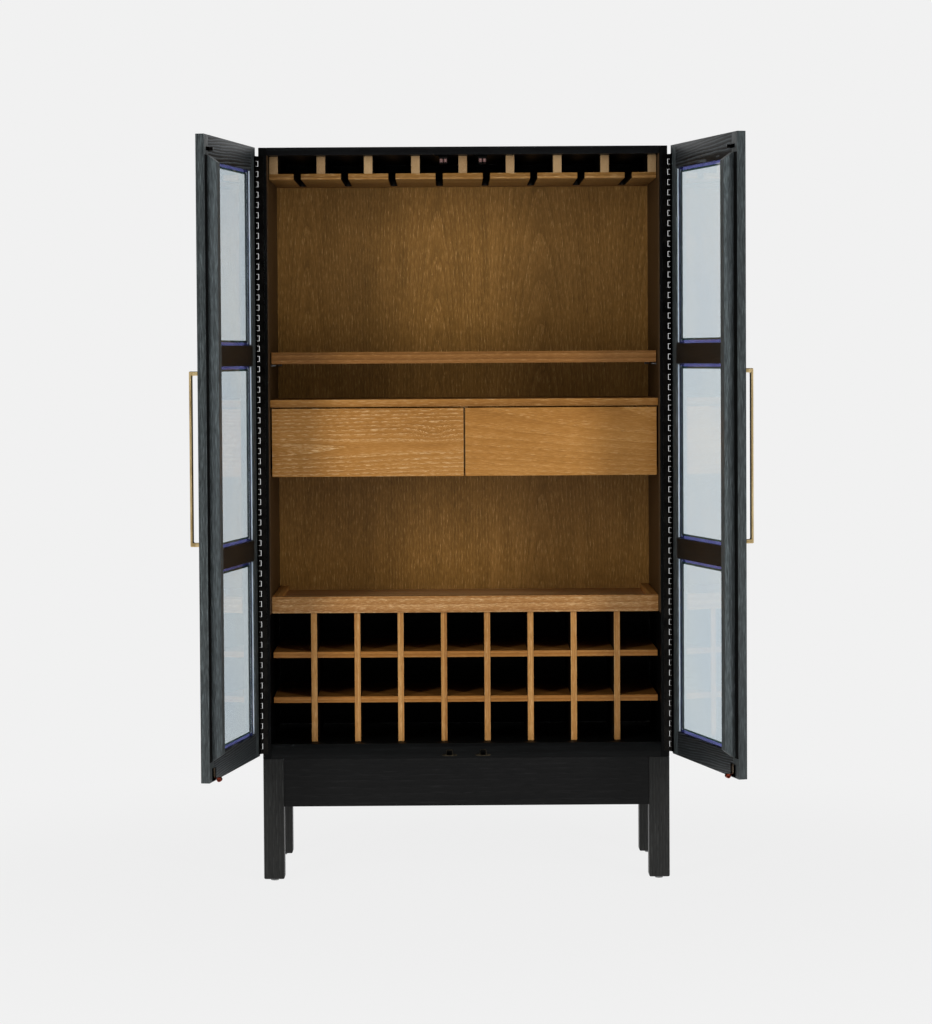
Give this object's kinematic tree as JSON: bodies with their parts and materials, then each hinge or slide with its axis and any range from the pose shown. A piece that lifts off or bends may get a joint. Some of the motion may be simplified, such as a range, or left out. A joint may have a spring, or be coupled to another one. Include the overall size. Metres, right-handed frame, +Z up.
{
  "type": "bar armoire",
  "caption": "Tall black oak bar cabinet on legs with glazed double doors on piano hinges, a stemware rack, shelf, drawers, sliding tray and bottle rack.",
  "frame": {"origin": "middle of the whole part's footprint with the doors standing open, on the floor", "axes": "+Z up, the doors and drawers face -Y, +X to the right seen from the front"},
  "size_m": [1.3236, 0.9622, 1.832],
  "materials": {
    "black_oak": "black stained open-grain oak, satin",
    "limed_oak": "honey oak with pale limed grain, matte",
    "brown_oak": "brown oak veneer, matte",
    "birch": "clear lacquered birch, matte",
    "glass": "clear bevelled glass",
    "brass": "antique brass, satin",
    "black_metal": "blackened steel, satin",
    "steel": "zinc plated steel"
  },
  "bodies": {
    "case": {"top_panel": "black_oak", "bottom_panel": "black_oak", "rear_panel": "black_oak", "oak_back_panel": "brown_oak", "left_side_panel": "black_oak", "left_side_lining": "brown_oak", "right_side_panel": "black_oak", "right_side_lining": "brown_oak", "front_apron": "black_oak", "rear_apron": "black_oak", "left_apron": "black_oak", "right_apron": "black_oak", "front_left_leg": "black_oak", "rear_left_leg": "black_oak", "front_right_leg": "black_oak", "rear_right_leg": "black_oak", "rack_divider_1": "limed_oak", "rack_divider_2": "limed_oak", "rack_divider_3": "limed_oak", "rack_divider_4": "limed_oak", "rack_divider_5": "limed_oak", "rack_divider_6": "limed_oak", "rack_divider_7": "limed_oak", "rack_divider_8": "limed_oak", "rack_shelf_1": "limed_oak", "rack_shelf_2": "limed_oak", "drawer_top_board": "limed_oak", "drawer_floor_board": "limed_oak", "drawer_partition": "birch", "left_drawer_runner": "birch", "right_drawer_runner": "birch", "bar_shelf": "limed_oak", "front_left_shelf_pin": "steel", "rear_left_shelf_pin": "steel", "front_right_shelf_pin": "steel", "rear_right_shelf_pin": "steel", "stemware_rack": "limed_oak", "left_hinge_case_leaf": "black_metal", "right_hinge_case_leaf": "black_metal", "left_roller_catch": "steel", "right_roller_catch": "steel"},
    "left_door": {"left_hinge_door_leaf": "black_metal", "left_door_frame": "black_oak", "left_door_pane_1": "glass", "left_door_pane_2": "glass", "left_door_pane_3": "glass", "left_door_batten": "black_oak", "left_door_handle": "brass"},
    "right_door": {"right_hinge_door_leaf": "black_metal", "right_door_frame": "black_oak", "right_door_pane_1": "glass", "right_door_pane_2": "glass", "right_door_pane_3": "glass", "right_door_batten": "black_oak", "right_door_handle": "brass"},
    "left_drawer": {"left_drawer_front": "limed_oak", "left_drawer_box": "birch"},
    "right_drawer": {"right_drawer_front": "limed_oak", "right_drawer_box": "birch"},
    "tray": {"serving_tray": "limed_oak"}
  },
  "joints": [
    {"name": "left_door_hinge", "type": "hinge", "parent": "case", "child": "left_door", "pos_m": [-0.52794, 0.02236, 1.066], "axis": [0, 0, -1], "range_deg": [-99.94, 80]},
    {"name": "right_door_hinge", "type": "hinge", "parent": "case", "child": "right_door", "pos_m": [0.49786, 0.02236, 1.066], "axis": [0, 0, 1], "range_deg": [-103.69, 76]},
    {"name": "left_drawer_slide", "type": "slide", "parent": "case", "child": "left_drawer", "axis": [0, -1, 0], "range_m": [0, 0.28]},
    {"name": "right_drawer_slide", "type": "slide", "parent": "case", "child": "right_drawer", "axis": [0, -1, 0], "range_m": [0, 0.28]},
    {"name": "tray_slide", "type": "slide", "parent": "case", "child": "tray", "axis": [0, -1, 0], "range_m": [0, 0.2]}
  ]
}
